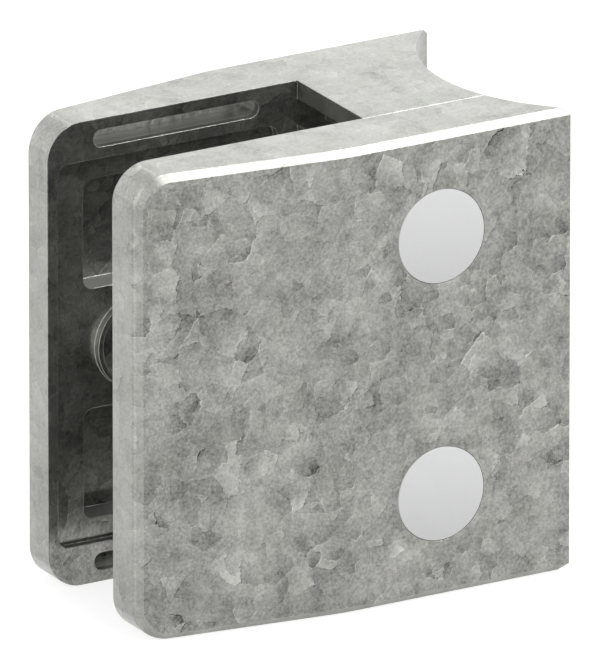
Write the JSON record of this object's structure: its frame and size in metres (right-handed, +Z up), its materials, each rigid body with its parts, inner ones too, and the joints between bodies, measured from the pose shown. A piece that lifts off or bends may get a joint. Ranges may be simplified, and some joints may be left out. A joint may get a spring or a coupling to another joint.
{
  "type": "glass panel clamp",
  "caption": "Two-jaw cast metal clamp that grips the edge of a glass panel and seats on a round post, its jaws drawn together by capped screws.",
  "frame": {"origin": "on the lower face, half way along the clamp and midway between the cheeks", "axes": "+X from the open glass end towards the post, +Y from the loose front jaw towards the fixed rear jaw, +Z up along the post"},
  "size_m": [0.0442, 0.0264, 0.045],
  "materials": {
    "zinc_casting": "raw zinc casting with a spangled, flaky patina",
    "screw_steel": "bright zinc plate",
    "cap_plastic": "glossy light grey"
  },
  "bodies": {
    "rear_jaw": {"rear_jaw": "zinc_casting"},
    "front_jaw": {"front_jaw": "zinc_casting"},
    "screw_upper": {"clamp_screw_upper": "screw_steel"},
    "screw_lower": {"clamp_screw_lower": "screw_steel"},
    "cap_upper": {"screw_cap_upper": "cap_plastic"},
    "cap_lower": {"screw_cap_lower": "cap_plastic"}
  },
  "joints": [
    {"name": "front_jaw_slide", "type": "slide", "parent": "rear_jaw", "child": "front_jaw", "axis": [0, -1, 0], "range_m": [0, 0.014]},
    {"name": "upper_screw_turn", "type": "hinge", "parent": "front_jaw", "child": "screw_upper", "pos_m": [0.00843, -0.008, 0.035], "axis": [0, -1, 0], "range_deg": [0, 6300]},
    {"name": "lower_screw_turn", "type": "hinge", "parent": "front_jaw", "child": "screw_lower", "pos_m": [0.00843, -0.008, 0.01], "axis": [0, -1, 0], "range_deg": [0, 6300]},
    {"name": "upper_cap_pull", "type": "slide", "parent": "screw_upper", "child": "cap_upper", "axis": [0, -1, 0], "range_m": [0, 0.008]},
    {"name": "lower_cap_pull", "type": "slide", "parent": "screw_lower", "child": "cap_lower", "axis": [0, -1, 0], "range_m": [0, 0.008]}
  ],
  "couplings": [
    {"joint": "upper_screw_turn", "follows": "front_jaw_slide", "rad_per_m": 7854},
    {"joint": "lower_screw_turn", "follows": "front_jaw_slide", "rad_per_m": 7854}
  ]
}
